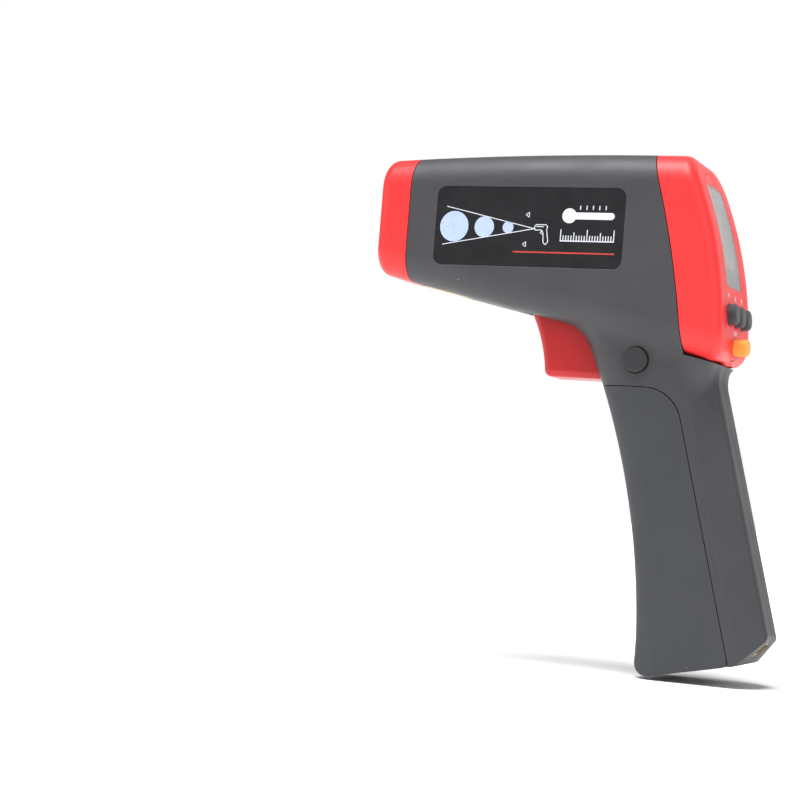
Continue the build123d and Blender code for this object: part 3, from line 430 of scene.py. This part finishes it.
def label_flat(node, side):
    """The outer face of a side label: u runs from its front edge to the rear, v up from its middle."""
    low, high = (Vector(corner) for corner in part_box(node))
    slope = (high.y - low.y - LABEL_THICK) / (high.x - low.x)
    outer_front = min(abs(low.y), abs(high.y)) + LABEL_THICK
    front = Vector((low.x, side * outer_front, (low.z + high.z) / 2))
    along = Vector((1, side * slope, 0)).normalized()
    up = Vector((0, 0, 1))
    flat = Flat(front, along, up)
    flat.out = Vector((-along.y, along.x, 0)) * side
    return flat


# What the labels show, in millimetres on the label.
SPOTS = [(7.25, 5.6), (19.1, 3.8), (28.4, 2.1)]
SPOT_V = -0.3
CONE_TIP = (38.6, -0.6)
CONE_ENDS = [(3.9, 7.0), (3.1, -7.0)]
CONE_LINE = 0.28
GUN = [
    [(38.6, 0.1), (39.3, 0.9), (43.1, 0.9), (43.7, 0.0), (43.3, -0.6), (44.1, -5.2), (43.2, -6.3),
     (42.3, -5.6), (42.0, -2.0), (41.4, -1.0), (38.9, -1.1), (38.6, 0.1)],
    [(39.4, 0.2), (42.2, 0.2)],
    [(41.6, -1.2), (40.9, -2.0), (41.9, -2.5)],
]
GUN_LINE = 0.3
ARROWS = [(35.0, 4.4), (34.4, -6.3)]
ARROW_LONG = 1.3
ARROW_HALF = 0.9
ARROW_LINE = 0.24
RULE = ((31.0, -9.1), (69.4, -9.1))
RULE_LINE = 0.55
SCALE_START = 48.8
SCALE_PITCH = 1.0
SCALE_MARKS = 21
SCALE_FOOT = -4.6
SCALE_LINE = 0.34
LONG_MARK, MIDDLE_MARK, SHORT_MARK = 4.0, 2.9, 1.8
SCALE_BASE = ((48.63, -4.77), (68.97, -4.77))
SCALE_BASE_LINE = 0.4
TICK_START = 55.6
TICK_PITCH = 2.4
TICK_LOW, TICK_HIGH = 6.5, 8.0
TICK_LINE = 0.36


def scaled(outline):
    """An outline in millimetres, in metres."""
    return [(u * MM, v * MM) for u, v in outline]


for node, side, word in (("left_label", -1, "left"), ("right_label", 1, "right")):
    flat = label_flat(node, side)
    spots = [disc(u, SPOT_V, radius) for u, radius in SPOTS]
    printed(f"{word}_label_spots", flat, [scaled(outline) for outline in spots], ink_blue)
    lines = [stroke(end, CONE_TIP, CONE_LINE) for end in CONE_ENDS]
    for run in GUN:
        lines += strokes(run, GUN_LINE)
    for u, v in ARROWS:
        high_corner = (u + ARROW_LONG, v + ARROW_HALF)
        low_corner = (u + ARROW_LONG, v - ARROW_HALF)
        lines += strokes([high_corner, (u, v), low_corner, high_corner], ARROW_LINE)
    printed(f"{word}_label_sight_lines", flat, [scaled(outline) for outline in lines], ink_white)
    printed(f"{word}_label_rule", flat, [scaled(stroke(*RULE, RULE_LINE))], ink_red)
    # a plain graduated scale and a thermometer sign fill the place where makers put their names
    marks = []
    for step in range(SCALE_MARKS):
        tall = LONG_MARK if step % 10 == 0 else MIDDLE_MARK if step % 5 == 0 else SHORT_MARK
        u = SCALE_START + step * SCALE_PITCH
        marks.append(stroke((u, SCALE_FOOT), (u, SCALE_FOOT + tall), SCALE_LINE))
    marks.append(stroke(*SCALE_BASE, SCALE_BASE_LINE))
    printed(f"{word}_label_scale", flat, [scaled(outline) for outline in marks], ink_white)
    ticks = []
    for step in range(5):
        u = TICK_START + TICK_PITCH * step
        ticks.append(stroke((u, TICK_LOW), (u, TICK_HIGH), TICK_LINE))
    sign = thermometer(51.6, 4.3, bulb=2.7, reach=17.0, half=1.25)
    printed(f"{word}_label_sign", flat, [scaled(outline) for outline in [sign] + ticks], ink_white)

# ---------------------------------------------------------------- display end
FACE_RADIUS = 150 * MM
FACE_CENTRE = zero + Vector((-93.3, 0, 25.4)) * MM
LCD_HEIGHT = zero.z + 66.2 * MM
KEY_MARK_HEIGHT = zero.z + 44.3 * MM
MODE_MARK_HEIGHT = zero.z + 31.9 * MM
KEY_PITCH = 9.8 * MM
CELL_DEPTH = 2.85 * MM
FACE_INK = 0.00004


def face_flat(height, depth=0.0):
    """The rear face at a height: u runs across towards the holder's right, v up, seen from behind."""
    tilt = (height - FACE_CENTRE.z) / FACE_RADIUS
    out = Vector((sqrt(1 - tilt * tilt), 0, tilt))
    flat = Flat(FACE_CENTRE + out * (FACE_RADIUS - depth), (0, 1, 0), (0, 0, 1))
    flat.v = Vector((-out.z, 0, out.x))
    flat.out = out
    return flat


marks = face_flat(KEY_MARK_HEIGHT)
triangle = 0.85 * MM
down_mark = [(-KEY_PITCH - triangle, triangle), (-KEY_PITCH, -triangle),
             (-KEY_PITCH + triangle, triangle)]
up_mark = [(-triangle, -triangle), (triangle, -triangle), (0, triangle)]
bulb_mark = disc(KEY_PITCH, 0.3 * MM, 0.75 * MM, 24)
bulb_foot = rounded(KEY_PITCH, -0.75 * MM, 0.8 * MM, 0.5 * MM, 0.15 * MM, 3)
printed("key_signs", marks, [down_mark, up_mark, bulb_mark, bulb_foot], ink_white,
        FACE_INK)
mode = face_flat(MODE_MARK_HEIGHT)
bars = [rounded(-1.5 * MM + step * 1.5 * MM, 0, 0.7 * MM, 1.5 * MM, 0.2 * MM, 3)
        for step in range(3)]
printed("mode_signs", mode, bars, ink_white, FACE_INK)

# unlit segments of the display cell, just proud of its front face
cell = face_flat(LCD_HEIGHT, CELL_DEPTH)


def digit(u, v, wide, tall, lean=0.08):
    """The seven segments of one digit with its middle at (u, v)."""
    half, quarter, thick = wide / 2, tall / 4, wide * 0.17
    gap = thick * 0.62
    runs = [
        ((-half + gap, 2 * quarter), (half - gap, 2 * quarter)),
        ((-half + gap, 0), (half - gap, 0)),
        ((-half + gap, -2 * quarter), (half - gap, -2 * quarter)),
        ((half, gap), (half, 2 * quarter - gap)),
        ((half, -gap), (half, -2 * quarter + gap)),
        ((-half, gap), (-half, 2 * quarter - gap)),
        ((-half, -gap), (-half, -2 * quarter + gap)),
    ]
    made = []
    for (u1, v1), (u2, v2) in runs:
        start = Vector((u1, v1))
        end = Vector((u2, v2))
        along = (end - start).normalized()
        side = Vector((-along.y, along.x)) * thick / 2
        tip = along * thick / 2
        points = [start - tip * 0.2, start + tip - side, end - tip - side, end + tip * 0.2,
                  end - tip + side, start + tip + side]
        made.append([(u + p.x + lean * p.y, v + p.y) for p in points])
    return made


segments = []
for step in (-1, 0, 1):
    segments += digit(step * 6.3 * MM, 1.5 * MM, 3.9 * MM, 9.6 * MM)
for step in range(4):
    segments += digit((step - 1.5) * 4.4 * MM, -10.4 * MM, 2.5 * MM, 5.4 * MM)
segments.append(rounded(-7.6 * MM, 13.6 * MM, 3.4 * MM, 1.7 * MM, 0.3 * MM, 3))
segments.append(rounded(-5.6 * MM, 13.6 * MM, 0.4 * MM, 0.8 * MM, 0.1 * MM, 3))
segments.append([(-1.6 * MM, 12.8 * MM), (0.4 * MM, 12.8 * MM), (-0.6 * MM, 14.6 * MM)])
segments.append(disc(7.6 * MM, 13.6 * MM, 0.85 * MM, 24))
for height in (10.6, -6.0):
    segments.append(stroke((-9.6 * MM, height * MM), (9.6 * MM, height * MM), 0.2 * MM))
printed("display_segments", cell, segments, segment_dark, FACE_INK)


# ---------------------------------------------------------------- muzzle
def lathe(name, profile, origin, axis, material, body="housing", count=96):
    """A solid of revolution about axis from a closed run of (along, radius) points."""
    axis = Vector(axis).normalized()
    side = axis.orthogonal().normalized()
    other = axis.cross(side)
    form = bmesh.new()
    rings = []
    for along, radius in profile:
        ring = []
        for i in range(count):
            angle = 2 * pi * i / count
            around = side * cos(angle) + other * sin(angle)
            ring.append(form.verts.new(Vector(origin) + axis * along + around * radius))
        rings.append(ring)
    for first, second in zip(rings, rings[1:] + rings[:1]):
        for i in range(count):
            j = (i + 1) % count
            form.faces.new((first[i], first[j], second[j], second[i]))
    bmesh.ops.recalc_face_normals(form, faces=form.faces)
    mesh = bpy.data.meshes.new(name)
    form.to_mesh(mesh)
    form.free()
    return add_piece(name, mesh, material, body)


AXIS_HEIGHT = zero.z + 67.0 * MM
tube_low, tube_high = (Vector(corner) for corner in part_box("optics_tube"))
hood_start, hood_end = tube_low.x, tube_low.x + 6.7 * MM
hood_wide, hood_narrow = 12.2 * MM, 9.7 * MM
STEPS = 6


def hood_radius(x):
    """The radius of the hood's steps, a little inside its cone, x behind its front edge."""
    return hood_wide + (hood_narrow - hood_wide) * (x / (hood_end - hood_start)) - 0.08 * MM


profile = []
for step in range(STEPS):
    share, after = step / STEPS, (step + 1) / STEPS
    x0 = 0.4 * MM + share * (hood_end - hood_start - 0.6 * MM)
    x1 = 0.4 * MM + after * (hood_end - hood_start - 0.6 * MM)
    r0 = hood_radius(x0)
    profile += [(x0, r0), (x1, r0 - 0.04 * MM), (x1, hood_radius(x1))]
back = [(x, r + 0.25 * MM) for x, r in (profile[-1], profile[0])]
lathe("hood_steps", profile + back, (hood_start, 0, AXIS_HEIGHT), (1, 0, 0), hood_black)

# ---------------------------------------------------------------- floor, light and camera
FLOOR_SIZE = 60.0
FLOOR_HEIGHT = -0.0012
floor_mesh = bpy.data.meshes.new("floor")
half = FLOOR_SIZE / 2
floor_corners = [(-half, -half), (half, -half), (half, half), (-half, half)]
floor_mesh.from_pydata([(x, y, FLOOR_HEIGHT) for x, y in floor_corners], [], [(0, 1, 2, 3)])
floor = bpy.data.objects.new("floor", floor_mesh)
bpy.context.scene.collection.objects.link(floor)
floor_look = Shader("floor_paper")
paper = floor_look.noise(6.0, 3.0)
floor_look.join(floor_look.blend(paper, (0.93, 0.93, 0.93, 1.0), (0.96, 0.96, 0.96, 1.0)),
                floor_look.shader.inputs["Base Color"])
floor_look.set(Roughness=0.9, Specular_IOR_Level=0.1)
floor_mesh.materials.append(floor_look.material)

ROOM_LIGHT = 0.24
world = bpy.context.scene.world
if world is None:
    world = bpy.data.worlds.new("studio")
bpy.context.scene.world = world
world.use_nodes = True
sky = world.node_tree
room = sky.nodes["Background"]
room.inputs["Color"].default_value = (1.0, 1.0, 1.0, 1.0)
room.inputs["Strength"].default_value = ROOM_LIGHT
backdrop = sky.nodes.new("ShaderNodeBackground")
backdrop.inputs["Color"].default_value = (1.0, 1.0, 1.0, 1.0)
backdrop.inputs["Strength"].default_value = 1.0
seen = sky.nodes.new("ShaderNodeLightPath")
mixed = sky.nodes.new("ShaderNodeMixShader")
sky.links.new(seen.outputs["Is Camera Ray"], mixed.inputs["Fac"])
sky.links.new(room.outputs[0], mixed.inputs[1])
sky.links.new(backdrop.outputs[0], mixed.inputs[2])
sky.links.new(mixed.outputs[0], sky.nodes["World Output"].inputs["Surface"])


def soft_sun(name, toward, strength, spread):
    """A broad far light that comes from the direction toward, spread degrees wide."""
    data = bpy.data.lights.new(name, "SUN")
    data.energy = strength
    data.angle = radians(spread)
    lamp = bpy.data.objects.new(name, data)
    bpy.context.scene.collection.objects.link(lamp)
    lamp.rotation_euler = Vector(toward).to_track_quat("Z", "Y").to_euler()


soft_sun("soft_top", (-0.1, -0.25, 1.0), 4.4, 35)
soft_sun("soft_front_left", (-1.0, -0.55, 0.45), 0.45, 50)
soft_sun("soft_right", (1.0, -0.6, 0.5), 0.6, 45)
soft_sun("soft_far_side", (0.2, 1.0, 0.5), 0.5, 60)

# The camera stands level with the handle. In its view the instrument is tipped by PITCH and
# turned by YAW.
YAW = radians(17.0)
PITCH = radians(5.0)
DISTANCE = 0.770
EYE_DROP = 0.0566
AIM_LEFT = -0.0646
AIM_UP = 0.06205
LENS = 94.9
SENSOR = 36.0
pitch = Matrix(((cos(PITCH), 0, sin(PITCH)), (0, 1, 0), (-sin(PITCH), 0, cos(PITCH))))
yaw = Matrix(((cos(YAW), sin(YAW), 0), (-sin(YAW), cos(YAW), 0), (0, 0, 1)))
to_object = (yaw @ pitch).transposed()
eye = zero + to_object @ Vector((0, -DISTANCE, -EYE_DROP))
look = (to_object @ Vector((AIM_LEFT, DISTANCE, AIM_UP))).normalized()
up = to_object @ Vector((0, 0, 1))
right = look.cross(up).normalized()
up = right.cross(look)
camera_data = bpy.data.cameras.new("camera")
camera_data.sensor_width = SENSOR
camera_data.lens = LENS
camera = bpy.data.objects.new("camera", camera_data)
bpy.context.scene.collection.objects.link(camera)
camera.matrix_world = Matrix.Translation(eye) @ Matrix((right, up, -look)).transposed().to_4x4()
bpy.context.scene.camera = camera
bpy.context.scene.view_settings.view_transform = "Standard"
